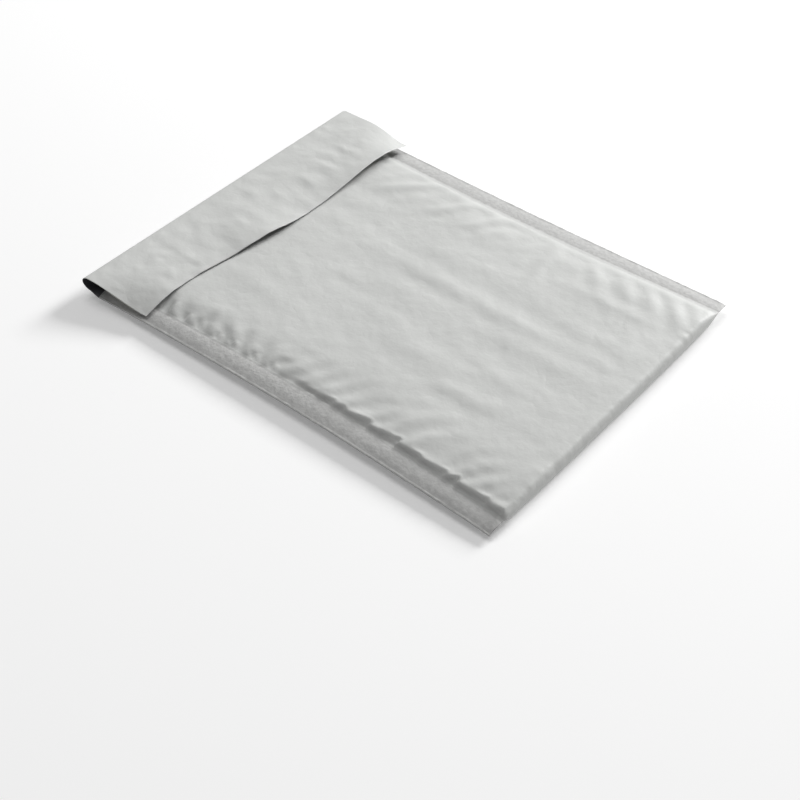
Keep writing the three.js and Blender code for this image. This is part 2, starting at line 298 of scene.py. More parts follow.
# How the film settles
SLACK_FIRMNESS = 0.35
BODY_STIFFNESS = 0.006
FLAP_STIFFNESS = 0.003
SETTLE_STEPS = 160
SETTLE_ROUNDS = 2
SETTLE_DAMPING = 0.9
SETTLE_PULL = 0.002
BODY_SINK = 1.0
BUBBLE_HOLD = 0.5
FLAP_SINK = 0.25
CALM_REACH = (4, 8, 6)  # from the welds, from the mouth and from the bottom fold

MOUTH_Y = HALF_LENGTH - MOUTH_SETBACK
LOOP_START_Y = HALF_LENGTH - LOOP_REACH
LOOP_RISE = (sum(LOOP_TOP) - sum(LOOP_BOTTOM)) / 4
LOOP_ARC = math.pi / 2 * (LOOP_RISE + LOOP_REACH)
FOLD_ARC = math.pi / 2 * END_RADIUS
FLAP_DEPTH = (FLAP_DEPTH_LEFT + FLAP_DEPTH_RIGHT) / 2
FLAP_STANDOFF = FILM + ADHESIVE_THICKNESS + LINER_THICKNESS + 3.5 * LAYER_GAP

# Distances along the film from the bottom fold: the front panel is negative, the back positive
MOUTH_AT = MOUTH_Y + HALF_LENGTH - END_RADIUS + FOLD_ARC
LOOP_START_AT = LOOP_START_Y + HALF_LENGTH - END_RADIUS + FOLD_ARC
LOOP_END_AT = LOOP_START_AT + LOOP_ARC
FLAP_END_AT = LOOP_END_AT + FLAP_DEPTH - LOOP_REACH
ADHESIVE_NEAR_AT = FLAP_END_AT - ADHESIVE_MARGIN
ADHESIVE_FAR_AT = ADHESIVE_NEAR_AT - ADHESIVE_WIDTH
LINER_NEAR_AT = ADHESIVE_NEAR_AT + LINER_OVERHANG
LINER_FAR_AT = ADHESIVE_FAR_AT - LINER_OVERHANG

# The film's stations, across and along: where a stretch starts and how far apart they are in it
EDGE_STRETCH = 1.2
COLUMN_STRETCHES = (
    (-HALF_WIDTH, 0.3), (-HALF_WIDTH + EDGE_STRETCH, 1.1), (-BODY_HALF, 0.7), (-64, 1.0),
    (-44, 1.45), (42, 1.05), (BODY_HALF, 1.1), (HALF_WIDTH - EDGE_STRETCH, 0.3),
)
ROW_STRETCHES = (
    (-MOUTH_AT, 1.15), (-FOLD_ARC, 0.6), (FOLD_ARC, 3.0), (MOUTH_AT, 1.4),
    (LOOP_START_AT, 1.0), (LOOP_END_AT, 1.25), (LINER_FAR_AT, 1.0),
    (ADHESIVE_FAR_AT, 1.2), (ADHESIVE_NEAR_AT, 1.0), (LINER_NEAR_AT, 1.0),
)

# Each film's darker and lighter tone, and its roughness
GREY_FILM = ((0.585, 0.593, 0.578), (0.725, 0.733, 0.716), 0.55)
INNER_FACE = ((0.05, 0.05, 0.055), (0.09, 0.09, 0.095), 0.5)
BUBBLE_FILM = ((0.74, 0.75, 0.75), (0.84, 0.85, 0.85), 0.25)
ADHESIVE = ((0.66, 0.60, 0.44), (0.76, 0.70, 0.54), 0.35)
LINER_PAPER = ((0.78, 0.78, 0.74), (0.86, 0.86, 0.83), 0.5)
SPECULAR = 0.35

# A film's surface. A pattern is its scale, detail and distortion, with the scale in waves to
# the metre, and a bump is its strength and its depth in metres
CLOUDS = (26, 6)
STREAKS = (1, 2)
STREAK_STRETCH = (420, 14, 420)
STREAK_SHARE = 0.3
HAZE = (60, 3)
HAZE_BELOW = 0.06
HAZE_ABOVE = 0.08
CREASES = (60, 4, 0.08)
CREASE_BUMP = (0.6, 0.0010)
CRINKLES = (170, 4, 0.2)
CRINKLE_BUMP = (0.35, 0.0005)
GRAIN = (1100, 2)
GRAIN_BUMP = (0.20, 0.0001)

# The welded bands: matt, with a darker tone and dark specks that are partly painted shade of the
# knurl, and the painted shade line beside them
WELD_TONE_AND_SHADE = (0.61, 0.61, 0.60)
WELD_ROUGHER = 0.12
SPECKLE = (520, 4)
SPECKLE_RANGE = (0.35, 0.65)
SPECKLE_SHADE_DARKEST = 0.88
SPECKLE_BUMP = (0.45, 0.0005)
SEAM_SHADE_SHARE = 0.60
SEAM_SHADE_DARKEST = 0.55

# The room, in metres
FLOOR_SIZE = 2.6
FLOOR_LEVEL = -0.0002
FLOOR_TONE = (0.9, 0.9, 0.9)
FLOOR_GLOW = 0.22
ROOM_LEVEL = 0.16
LAMPS = (
    ("lamp_above", (0.20, 0.60, 1.75), 1.1, 0.29),
    ("lamp_right", (1.90, -0.26, 0.85), 0.65, 1.12),
)

# The camera, with its place in millimetres and its angles in degrees
CAMERA_PLACE = (-382.5, -314.6, 421.8)
CAMERA_YAW = 39.7
CAMERA_PITCH = 44.0
CAMERA_LENS = 68.5
CAMERA_SENSOR = 36


def share(value):
    return np.clip(value, 0.0, 1.0)


def ease(value):
    t = share(value)
    return t * t * (3 - 2 * t)


def rise(distance, reach):
    return np.sin(math.pi / 2 * share(distance / reach))


def lerp(start, end, t):
    return start + (end - start) * t


def hump(away, width):
    """1 in the middle, falling away smoothly on both sides."""
    return np.exp(-((away / width) ** 2))


def noise(x, y, size, seed):
    """Smooth noise of the given grain, with a spread of about one."""
    count = 64
    lattice = np.random.default_rng(seed).standard_normal((count, count))
    u, v = x / size + count, y / size + count
    i, j = np.floor(u).astype(int), np.floor(v).astype(int)
    a, b = ease(u - i), ease(v - j)
    i, j = i % count, j % count
    i1, j1 = (i + 1) % count, (j + 1) % count
    near = lerp(lattice[i, j], lattice[i1, j], a)
    far = lerp(lattice[i, j1], lattice[i1, j1], a)
    return lerp(near, far, b)


def layered(x, y, layers, level=0):
    """Noise of several grains added to a level. A layer is its height, grain and seed."""
    return sum((height * noise(x, y, grain, seed) for height, grain, seed in layers), level)


def crease(x, y, start, end, height, width):
    """A ridge (or with a negative height, a valley) that fades out at both ends."""
    dx, dy = end[0] - start[0], end[1] - start[1]
    length = math.hypot(dx, dy)
    dx, dy = dx / length, dy / length
    along = ((x - start[0]) * dx + (y - start[1]) * dy) / length
    off = (y - start[1]) * dx - (x - start[0]) * dy
    return height * np.sin(math.pi * share(along)) ** CREASE_POWER * hump(off, width)


def creased(x, y, creases):
    return sum(crease(x, y, *one) for one in creases)


# The outer film's shape


def mouth_rise(y):
    """0 over the flat part of the bag, rising to 1 at the mouth."""
    return ease((y - MOUTH_RISE_FROM) / (MOUTH_Y - MOUTH_RISE_FROM))


def across_share(x):
    return (x + HALF_WIDTH) / WIDTH


def middle_share(y):
    """1 half-way along the bag, falling to 0 at its ends."""
    return np.sin(math.pi * share((y + HALF_LENGTH) / LENGTH))


def seam_level(x, y):
    """Height at which the panels meet along the inner edges of the welds."""
    ends = lerp(*WELD_HEIGHT_ENDS, across_share(x))
    return lerp(ends, WELD_HEIGHT_MIDDLE, middle_share(y) ** WELD_RISE_POWER)


def weld_level(x, y):
    """The same with the droop of the bands towards their cut edges."""
    out = share((np.abs(x) - BODY_HALF) / WELD_WIDTH)
    return seam_level(x, y) - lerp(*WELD_DROOP, across_share(x)) * out**DROOP_POWER


def edge_noise(x, y, grain, seed):
    """Noise along the bag that differs from the left edge to the right one."""
    return noise(y, SIDES_APART * np.sign(x), grain, seed)


def drawn_in(x, y):
    """Where a point of a panel lies across the bag once the sides have drawn in."""
    middle = middle_share(y)
    seam_shift = lerp(SEAM_SPREAD, -SEAM_DRAW, middle)
    body = np.minimum(np.abs(x), BODY_HALF) / BODY_HALF
    band = np.maximum(np.abs(x) - BODY_HALF, 0) / WELD_WIDTH
    band_width = WELD_WIDTH - seam_shift - SIDE_DRAW * middle
    at_edge = share(np.abs(x) - HALF_WIDTH + EDGE_REACH)
    uneven = EDGE_UNEVEN * edge_noise(x, y, EDGE_GRAIN, seed=31) * at_edge
    return np.sign(x) * (body * (BODY_HALF + seam_shift) + band * band_width + uneven)


def front_share(x, y):
    """Share of its full height that the front panel has reached at a place."""
    inset = BODY_HALF - np.abs(x)
    low = ease((LEFT_SLOPE_FROM - y) / LEFT_SLOPE_LENGTH)
    slope, steep = lerp(*LEFT_SLOPE_REACH, low), lerp(*LEFT_STEEP_REACH, low)
    left = lerp(rise(inset, slope), rise(inset, steep), lerp(*LEFT_STEEP_SHARE, low))
    slope, steep = rise(inset, RIGHT_SLOPE_REACH), rise(inset, RIGHT_STEEP_REACH)
    return np.where(x < 0, left, lerp(slope, steep, RIGHT_STEEP_SHARE))


def front_rise(x, y):
    """How far the front panel stands above the level of the welds."""
    top = BODY_HEIGHT + MOUTH_RISE_FRONT * mouth_rise(y)
    full = top - weld_level(x, y) - FILM
    return FILM + full * front_share(x, y)


def back_drop(x, y):
    """How far the back panel lies below it."""
    full = weld_level(x, y) - MOUTH_RISE_BACK * mouth_rise(y) - FILM
    return FILM + full * rise(BODY_HALF - np.abs(x), FOOT_REACH)


def bend(along, radius):
    """How far up the bag a point on a panel is, and how far round the bottom fold."""
    turn = np.minimum(np.abs(along) / radius, math.pi / 2)
    past = np.maximum(np.abs(along) - math.pi / 2 * radius, 0)
    return radius * (1 - np.cos(turn)) + past, np.sin(turn)


def pulled(x, reach):
    """How far the bottom corners draw in from the end of the bag."""
    corner = (np.abs(x) / HALF_WIDTH) ** CORNER_POWER
    return CORNER_PULL * corner * np.exp(-reach / PULL_REACH)


def added(pair, low):
    """A value with what is added to it towards the bottom."""
    return pair[0] + pair[1] * low


def gathers(kind):
    """Ridges that run in from one weld, of one kind above and of another towards the bottom."""
    chance = np.random.default_rng(kind["seed"])
    side = kind["side"]
    ridges = []
    y = kind["top"]
    while y > GATHERS_END:
        low = float(ease((kind["change_from"] - y) / kind["change_length"]))
        tilt = math.radians(added(kind["tilt"], low) + chance.normal(0, kind["tilt_spread"]))
        length = added(kind["length"], low) + chance.uniform(*kind["length_spread"])
        height = added(kind["height"], low) + chance.uniform(*kind["height_spread"])
        start = (side * (BODY_HALF - kind["inset"][0] - kind["inset"][1] * low), y)
        inward = -side * length
        end = (start[0] + inward * math.cos(tilt), y + inward * math.sin(tilt))
        ridges.append((start, end, height, added(kind["width"], low)))
        y -= added(kind["pitch"], low) * chance.uniform(*kind["pitch_spread"])
    return ridges


def seam_notches():
    """Short dents that run in from the upper part of the left weld, each beside a small ridge."""
    chance = np.random.default_rng(17)
    inner = -BODY_HALF + NOTCH_INSET
    made = []
    y = NOTCHES_TOP
    while y > GROOVE_TOP:
        reach = chance.uniform(*NOTCH_REACH)
        lean = chance.uniform(*NOTCH_LEAN)
        made.append(((inner, y), (inner + reach, y + lean), -NOTCH_DEPTH, NOTCH_WIDTH))
        start = (inner, y - RIDGE_BELOW[0])
        end = (inner + reach, y - RIDGE_BELOW[1] + lean)
        made.append((start, end, RIDGE_HEIGHT, RIDGE_WIDTH))
        y -= NOTCH_PITCH * chance.uniform(*NOTCH_PITCH_SPREAD)
    return made


def groove_teeth(y):
    """At each place along the bag: how far it is through its tooth, and that tooth's reach."""
    chance = np.random.default_rng(29)
    places, reaches = [GROOVE_TOP], [0.0]
    while places[-1] > -HALF_LENGTH:
        places.append(places[-1] - chance.uniform(*TOOTH_LENGTH))
        reaches.append(chance.uniform(*TOOTH_REACH))
    places, reaches = np.array(places[::-1]), np.array(reaches[::-1])
    tooth = np.clip(np.searchsorted(places, y), 1, len(places) - 1)
    run = share((places[tooth] - y) / (places[tooth] - places[tooth - 1]))
    return run, reaches[tooth - 1]


def seam_groove(x, y):
    """A groove along the lower part of the left weld, whose inner edge is a row of uneven teeth."""
    run, reach = groove_teeth(y)
    width = GROOVE_WIDTH + reach * run**TOOTH_POWER
    inset = x + BODY_HALF
    cross = share(inset / GROOVE_WIDTH) * ease(1 + (width - inset) / GROOVE_SLOPE)
    uneven = np.maximum(layered(x, y, GROOVE_UNEVEN, level=1), GROOVE_LEAST_DEPTH)
    depth = GROOVE_DEPTH * lerp(GROOVE_START_DEPTH, 1, run) * uneven
    lip = LIP_HEIGHT * hump(inset - width - LIP_AWAY, LIP_WIDTH) * lerp(LIP_START_SHARE, 1, run)
    return ease((GROOVE_TOP - y) / GROOVE_FADE) * (lip - depth * cross) * (inset > 0)


def dome_rise(x, y):
    """Height share of the bubbles in a staggered pattern: 1 on top of each, 0 between them."""
    nearest = np.full(np.shape(x), np.inf)
    middle = np.round(y / BUBBLE_ROW)
    for step in (-1, 0, 1):
        j = middle + step
        shift = np.where(j % 2 == 0, 0, BUBBLE_PITCH / 2)
        i = np.round((x - shift) / BUBBLE_PITCH)
        away = (x - i * BUBBLE_PITCH - shift) ** 2 + (y - j * BUBBLE_ROW) ** 2
        nearest = np.minimum(nearest, away)
    return np.sqrt(share(1 - nearest / BUBBLE_RADIUS**2))


def front_relief(x, y):
    """The gathers and creases that the front panel starts from."""
    return creased(x, y, gathers(LEFT_GATHERS) + gathers(RIGHT_GATHERS) + list(LONG_CREASES))


def fine_relief(x, y):
    """Small dents, soft swells and the faint print of the bubbles."""
    across, along = SWELL_STRETCH
    swell = SWELL_HEIGHT * noise(across * x, along * y, SWELL_GRAIN, seed=3)
    return layered(x, y, FINE_DENTS) + swell + BUBBLE_PRINT * dome_rise(x, y)


def left_crumples(x, y, inset):
    """Slanting crumples in the left side of the front panel, a little way in from the weld."""
    across, along = x + CRUMPLE_SLANT * y, CRUMPLE_STRETCH * y
    height = CRUMPLE_HEIGHT * noise(across, along, CRUMPLE_GRAIN, seed=41)
    return height * hump(inset - CRUMPLE_INSET, CRUMPLE_WIDTH) * (x < 0)


def edge_bead(x, y):
    """The melted bead along the cut edges of the bands."""
    inset = HALF_WIDTH - np.abs(x)
    size = BEAD_HEIGHT * (1 + BEAD_UNEVEN * edge_noise(x, y, BEAD_GRAIN, seed=33))
    return size * hump(inset - BEAD_INSET, BEAD_WIDTH)


def fold_crimps(x, reach):
    return CRIMP_HEIGHT * noise(x, reach, CRIMP_SIZE, seed=35) * hump(reach, CRIMP_REACH)


def panel_points(x, along):
    """The front and back panels, and the bottom fold between them."""
    reach, opening = bend(along, END_RADIUS)
    y = reach - HALF_LENGTH
    level = weld_level(x, y)
    relief = front_relief(x, y) + edge_bead(x, y) + fold_crimps(x, reach)
    front = level + opening * (front_rise(x, y) + relief)
    back = level - opening * back_drop(x, y)
    height = np.where(along < 0, front, back)
    return np.stack([drawn_in(x, y), y + pulled(x, reach), height], -1)


def fold_start_y(x):
    return LOOP_START_Y + FOLD_SKEW * (1 - across_share(x))


def lip_points(x, along):
    """The back panel past the mouth, as far as the start of the fold."""
    onward = (along - MOUTH_AT) / (LOOP_START_AT - MOUTH_AT)
    mouth = panel_points(x, np.full_like(along, MOUTH_AT))
    y = lerp(MOUTH_Y, fold_start_y(x), onward)
    z = lerp(mouth[..., 2], lerp(*LOOP_BOTTOM, across_share(x)), ease(onward))
    return np.stack([lerp(mouth[..., 0], x, onward), y, z], -1)


def loop_points(x, along):
    """The fold between the back panel and the flap."""
    turn = math.pi * (along - LOOP_START_AT) / LOOP_ARC
    y = fold_start_y(x) + LOOP_REACH * np.sin(turn)
    bottom, top = lerp(*LOOP_BOTTOM, across_share(x)), lerp(*LOOP_TOP, across_share(x))
    return np.stack([x, y, lerp(bottom, top, (1 - np.cos(turn)) / 2)], -1)


def free_edge(x):
    step = ease((x + HALF_WIDTH - FLAP_STEP_START) / FLAP_STEP_LENGTH)
    return HALF_LENGTH - lerp(FLAP_DEPTH_LEFT, FLAP_DEPTH_RIGHT, step)


def edge_lift(x):
    return sum(
        height * ease(1 - np.abs(x - place) / reach) for place, reach, height in EDGE_LIFTS
    )


def flap_calm(along):
    """0 at the end of the fold, and 1 from a little way into the flap."""
    return share((along - LOOP_END_AT) / FLAP_CALM_REACH)


def flap_relief(x, along):
    """Folds in the flap and the faint step over the paper strip."""
    back = FLAP_END_AT - along
    near = ADHESIVE_MARGIN - LINER_OVERHANG
    far = near + ADHESIVE_WIDTH + 2 * LINER_OVERHANG
    up, down = ease((back - near) / STRIP_STEP_WIDTH), ease((far - back) / STRIP_STEP_WIDTH)
    relief = creased(x, back, FLAP_CREASES) + STRIP_STEP * up * down
    return flap_calm(along) * (relief + layered(x, back, FLAP_MOTTLE))


def flap_points(x, along):
    """The flap, from the end of its fold to its free edge."""
    run = (along - LOOP_END_AT) / (FLAP_END_AT - LOOP_END_AT)
    y = lerp(fold_start_y(x), free_edge(x), run)
    level = seam_level(x, y)
    top = BODY_HEIGHT + MOUTH_RISE_FRONT * mouth_rise(y)
    drape = rise(HALF_WIDTH - np.abs(x), DRAPE_REACH)
    resting = level + (top - level) * drape + FLAP_STANDOFF
    hold = lerp(*FLAP_HOLD, across_share(x))
    settled = lerp(lerp(*LOOP_TOP, across_share(x)), resting, ease((run - hold) / (1 - hold)))
    height = settled + edge_lift(x) * run * run + flap_relief(x, along)
    inward = FLAP_TAPER * run * (1 - across_share(x)) ** 2
    return np.stack([x + inward, y, height], -1)


def film_points(x, along):
    """Outer face of the film, anywhere on its web."""
    kinds = (
        (along <= MOUTH_AT, panel_points),
        ((along > MOUTH_AT) & (along <= LOOP_START_AT), lip_points),
        ((along > LOOP_START_AT) & (along <= LOOP_END_AT), loop_points),
        (along > LOOP_END_AT, flap_points),
    )
    points = np.zeros(x.shape + (3,))
    for where, shape in kinds:
        points[where] = shape(x[where], along[where])
    return points


# How the film settles


def pairs(rows, columns):
    """The film's threads as pairs of grid slices, in groups that share no point."""
    groups = []
    for first in (0, 1):
        left, right = slice(first, columns - 1, 2), slice(first + 1, columns, 2)
        upper, lower = slice(first, rows - 1, 2), slice(first + 1, rows, 2)
        every = slice(None)
        ahead, behind = slice(1, columns), slice(0, columns - 1)
        groups.append(((every, left), (every, right)))
        groups.append(((upper, every), (lower, every)))
        groups.append(((upper, behind), (lower, ahead)))
        groups.append(((upper, ahead), (lower, behind)))
    return groups


def threads(rest, free, slack, lean, slack_across):
    """Each group of threads with its real length, which is a little more than its room.

    The slack lies along the bag where the lean is 0, and turns with the lean, an angle.
    """
    made = []
    for a, b in pairs(*free.shape):
        room = rest[b] - rest[a]
        length = np.linalg.norm(room, axis=-1)
        turn = (lean[a] + lean[b]) / 2
        along = (room[..., 0] * np.sin(turn) + room[..., 1] * np.cos(turn)) / length
        sideways = slack_across * (room[..., 0] / length) ** 2
        real = length * (1 + (slack[a] + slack[b]) / 2 * along**2 + sideways)
        loose = free[a] + free[b] + TINY
        made.append((a, b, real, free[a] / loose, free[b] / loose))
    return made


def second_difference(points):
    spread = np.zeros_like(points)
    spread[1:-1] += points[2:] + points[:-2] - 2 * points[1:-1]
    spread[:, 1:-1] += points[:, 2:] + points[:, :-2] - 2 * points[:, 1:-1]
    return spread


def pull_threads(points, made):
    """Bring each thread to its length: it resists stretching more than it resists slack."""
    for a, b, length, loose_a, loose_b in made:
        across = points[b] - points[a]
        now = np.linalg.norm(across, axis=-1)
        firm = np.where(now > length, 1.0, SLACK_FIRMNESS)
        shift = (firm * (now - length) / now)[..., None] * across
        points[a] += shift * loose_a[..., None]
        points[b] -= shift * loose_b[..., None]


def settle(start, rest, free, loose_threads, stiffness, lowest):
    """Let the film buckle where it is longer than its room, until it hardly moves."""
    made = threads(rest, free, *loose_threads)
    points, before = start.copy(), start.copy()
    loose = free[..., None]
    for _ in range(SETTLE_STEPS):
        ahead = points + SETTLE_DAMPING * (points - before) * loose
        before, points = points, ahead
        points[..., 2] += SETTLE_PULL * (rest[..., 2] - points[..., 2]) * free
        points -= stiffness * second_difference(second_difference(points)) * loose
        for _ in range(SETTLE_ROUNDS):
            pull_threads(points, made)
        points[..., 2] = np.where(free > 0, np.maximum(points[..., 2], lowest), points[..., 2])
    return points


def slack_share(y):
    """1 over the open part of the bag, and 0 well under the flap."""
    return ease((SLACK_TOP - y) / SLACK_FADE)


def front_slack(x, y, inset):
    """How loose the front panel is at each place, and the angle at which its folds lean."""
    low_left = ease((GATHER_LEAN_FROM - y) / GATHER_LEAN_LENGTH)
    low_right = ease((RIGHT_GATHERS["change_from"] - y) / RIGHT_GATHERS["change_length"])
    left = lerp(*LEFT_SLACK, low_left) * np.exp(-inset / SLACK_REACH)
    right = lerp(*RIGHT_SLACK, low_right) * np.exp(-inset / SLACK_REACH)
    slack = (np.where(x < 0, left, right) + BODY_SLACK) * slack_share(y)
    lean = np.where(x < 0, GATHER_LEAN * low_left, lerp(-DENT_LEAN, DENT_LEAN, low_right))
    return slack, lean


def first_folds(y, inset, lean):
    """Faint folds beside the welds, along their lean, that grow as the film settles."""
    drift = y + np.tan(lean) * inset
    folds = sum(
        height * noise(inset, drift * across / along, across, seed)
        for height, across, along, seed in FIRST_FOLDS
    )
    near_weld = share(inset / FIRST_FOLD_INSET) * np.exp(-inset / FIRST_FOLD_REACH)
    return FIRST_FOLD_HEIGHT * folds * (near_weld * slack_share(y))


def settle_front(points, x, along):
    """The front panel between its welds, held along them, at the mouth and at the bottom fold."""
    rows = np.flatnonzero(along[:, 0] <= -FOLD_ARC + SAME)
    columns = np.flatnonzero(np.abs(x[0]) <= BODY_HALF + SAME)
    part = np.ix_(rows, columns)
    px, rest = x[part], points[part]
    y = rest[..., 1]
    free = np.ones(px.shape)
    free[[0, -1]] = 0
    free[:, [0, -1]] = 0
    inset = BODY_HALF - np.abs(px)
    slack, lean = front_slack(px, y, inset)
    start = rest.copy()
    start[..., 2] += first_folds(y, inset, lean)
    level = weld_level(px, y)
    lowest = level + front_rise(px, y) - BODY_SINK + BUBBLE_HOLD * dome_rise(px, y)
    loose = (slack, np.sign(px) * -lean, BODY_CROSS_SLACK)
    settled = settle(start, rest, free, loose, BODY_STIFFNESS, lowest)
    from_weld, from_mouth, from_fold = CALM_REACH
    calm = share(inset / from_weld) * share((MOUTH_Y - y) / from_mouth)
    calm = calm * share((y + HALF_LENGTH - END_RADIUS) / from_fold)
    settled[..., 2] += calm * (fine_relief(px, y) + left_crumples(px, y, inset))
    settled[..., 2] += creased(px, y, seam_notches()) + seam_groove(px, y)
    clear = level + FILM - GROOVE_FLOOR * (back_drop(px, y) - FILM)
    settled[..., 2] = np.maximum(settled[..., 2], clear)
    points[part] = settled


def settle_flap(points, x, along):
    """The flap from the end of its fold to its free edge, with crumples all over."""
    rows = np.flatnonzero(along[:, 0] >= LOOP_END_AT - SAME)
    px, rest = x[rows], points[rows]
    back = FLAP_END_AT - along[rows]
    free = np.ones(px.shape)
    free[0] = 0
    patchy = CRUMPLED_LEVEL + noise(px, back, CRUMPLED_GRAIN, seed=23)
    crumpled = share(patchy - CRUMPLED_FALL * across_share(px))
    start = rest.copy()
    start[..., 2] += FIRST_CRUMPLE_HEIGHT * layered(px, back, FIRST_CRUMPLES) * crumpled
    loose = (FLAP_SLACK * crumpled, np.zeros(px.shape), FLAP_CROSS_SLACK)
    settled = settle(start, rest, free, loose, FLAP_STIFFNESS, rest[..., 2] - FLAP_SINK)
    dents = FLAP_DENT_HEIGHT * noise(px, back, FLAP_DENT_GRAIN, seed=24)
    settled[..., 2] += flap_calm(along[rows]) * dents * lerp(FLAP_DENT_LEAST, 1, crumpled)
    points[rows] = settled


def film_web():
    """The whole web as it lies: its stations, and the outer and inner faces."""
    columns = stations(COLUMN_STRETCHES, HALF_WIDTH)
    rows = stations(ROW_STRETCHES, FLAP_END_AT)
    x, along = np.meshgrid(columns, rows)
    outside = film_points(x, along)
    settle_front(outside, x, along)
    settle_flap(outside, x, along)
    return x, along, outside, film_inside(outside, x, along)


def grid_normals(points):
    onward = np.gradient(points, axis=0)
    across = np.gradient(points, axis=1)
    normals = np.cross(onward, across)
    return normals / np.maximum(np.linalg.norm(normals, axis=-1, keepdims=True), TINY)


def thinned(x, along):
    """Share of the film's thickness: it is drawn thin beside the welds and at the flap's edge."""
    beside_weld = lerp(THIN_SHARE, 1, share((BODY_HALF - np.abs(x)) / THIN_REACH))
    free = lerp(THIN_SHARE, 1, share((FLAP_END_AT - along) / THIN_REACH))
    return np.where(along < 0, beside_weld, free)


def film_inside(points, x, along):
    """Inner face of the film: in the welded bands the two panels meet at mid-height."""
    thickness = FILM * thinned(x, along)
    inside = points - thickness[..., None] * grid_normals(points)
    welded = (np.abs(x) > BODY_HALF - FILM) & (along <= MOUTH_AT)
    reach = np.maximum(bend(along, END_RADIUS)[0], FILM)
    y = reach - HALF_LENGTH
    seam = np.stack([drawn_in(x, y), y + pulled(x, reach), weld_level(x, y)], -1)
    inside[welded] = seam[welded]
    return inside


# The lining's shape


def lining_outside(x, along):
    """The lining's outer side, a clearance inside the film."""
    gap = FILM + LINING_CLEARANCE
    reach, opening = bend(along, END_RADIUS - gap)
    y = reach + gap - HALF_LENGTH
    front = opening * (front_rise(x, y) - gap)
    back = -opening * (back_drop(x, y) - gap)
    height = weld_level(x, y) + np.where(along < 0, front, back)
    return np.stack([drawn_in(x, y), y + pulled(x, reach + gap), height], -1)


def lining_inside(x, along):
    """Its inner side, where the two leaves face each other across the pocket."""
    outside = lining_outside(x, along)
    turn = bend(along, END_RADIUS - FILM - LINING_CLEARANCE)[1]
    floor_y = POCKET_FLOOR - POCKET_GAP / 2 * np.cos(np.arcsin(turn)) - HALF_LENGTH
    y = np.maximum(outside[..., 1], floor_y)
    middle = weld_level(x, y) + (front_rise(x, y) - back_drop(x, y)) / 2
    height = middle - np.sign(along) * (POCKET_GAP / 2) * turn
    return np.stack([drawn_in(x, y), y, height], -1)


# Meshes


def steps(start, end, size):
    """Stations from start up to but without end, about the given size apart."""
    count = max(1, round(abs(end - start) / size))
    return np.linspace(start, end, count, endpoint=False)


def stations(stretches, last):
    """All stations of a list of stretches, up to and with the last."""
    starts, sizes = zip(*stretches)
    runs = [steps(*run) for run in zip(starts, [*starts[1:], last], sizes)]
    return np.concatenate([*runs, [last]])


def grid_faces(rows, columns, first=0, flip=False):
    index = np.arange(rows * columns).reshape(rows, columns) + first
    corners = [index[:-1, :-1], index[:-1, 1:], index[1:, 1:], index[1:, :-1]]
    return np.stack(corners[::-1] if flip else corners, -1).reshape(-1, 4)


def rim_faces(rows, columns, second):
    """The narrow faces that join the edges of two equal grids."""
    index = np.arange(rows * columns).reshape(rows, columns)
    ring = np.concatenate([index[0, :-1], index[:-1, -1], index[-1, :0:-1], index[:0:-1, 0]])
    after = np.roll(ring, -1)
    return np.stack([after, ring, ring + second, after + second], -1)


def linked_object(name, data):
    made = bpy.data.objects.new(name, data)
    bpy.context.collection.objects.link(made)
    return made


def mesh_object(name, points, faces, face_slots, smooth, materials):
    """An object of four-cornered faces."""
    mesh = bpy.data.meshes.new(name)
    mesh.vertices.add(len(points))
    mesh.vertices.foreach_set("co", (points * MM).astype(np.float32).ravel())
    mesh.loops.add(faces.size)
    mesh.loops.foreach_set("vertex_index", faces.astype(np.int32).ravel())
    mesh.polygons.add(len(faces))
    starts = np.arange(0, faces.size, faces.shape[1], dtype=np.int32)
    mesh.polygons.foreach_set("loop_start", starts)
    for material in materials:
        mesh.materials.append(material)
    mesh.polygons.foreach_set("material_index", face_slots.astype(np.int32))
    mesh.update(calc_edges=True)
    mesh.validate()
    mesh.polygons.foreach_set("use_smooth", smooth)
    return linked_object(name, mesh)


def layer_object(name, outside, inside, materials, lined_from=0):
    """A thin closed layer between two equal grids; from a row on, its inside has its own material."""
    rows, columns = outside.shape[:2]
    count = rows * columns
    outer = grid_faces(rows, columns)
    inner = grid_faces(rows, columns, first=count, flip=True)
    rims = rim_faces(rows, columns, count)
    slots = np.zeros(len(outer) + len(inner) + len(rims))
    lined = len(outer) + lined_from * (columns - 1)
    slots[lined : len(outer) + len(inner)] = len(materials) - 1
    points = np.concatenate([outside.reshape(-1, 3), inside.reshape(-1, 3)])
    smooth = np.arange(len(slots)) < len(outer) + len(inner)
    faces = np.concatenate([outer, inner, rims])
    return mesh_object(name, points, faces, slots, smooth, materials)


def weld_marks(x, along, outside):
    """Where the film is welded, and where painted shade darkens it beside the welds."""
    beyond = np.abs(x) - BODY_HALF
    panels = along <= MOUTH_AT
    weld = share(beyond / WELD_MARK_REACH) * panels
    line = hump(beyond + SEAM_SHADE_INSET, SEAM_SHADE_WIDTH)
    fading = SEAM_SHADE_FADE_SHARE * np.exp(-np.abs(beyond) / SEAM_SHADE_FADE_REACH) * (beyond > 0)
    low = ease((SHADE_CHANGE_FROM - outside[..., 1]) / SHADE_CHANGE_LENGTH)
    # Painted shade beside the welds, with less of it in the upper left
    drawn = np.where(x < 0, lerp(UPPER_LEFT_SHADE, 1, low), 1)
    return {"weld": weld, "seam": np.maximum(line, fading) * drawn * panels}


def outer_pouch(web, outside_material, inside_material):
    x, along, outside, inside = web
    mouth_row = int(np.searchsorted(along[:, 0], MOUTH_AT - WELD_WIDTH))
    materials = [outside_material, inside_material]
    pouch = layer_object("pouch_film", outside, inside, materials, mouth_row)
    for name, marked in weld_marks(x, along, outside).items():
        mark = pouch.data.attributes.new(name, "FLOAT", "POINT")
        mark.data.foreach_set("value", np.tile(marked.ravel(), 2).astype(np.float32))
    return pouch


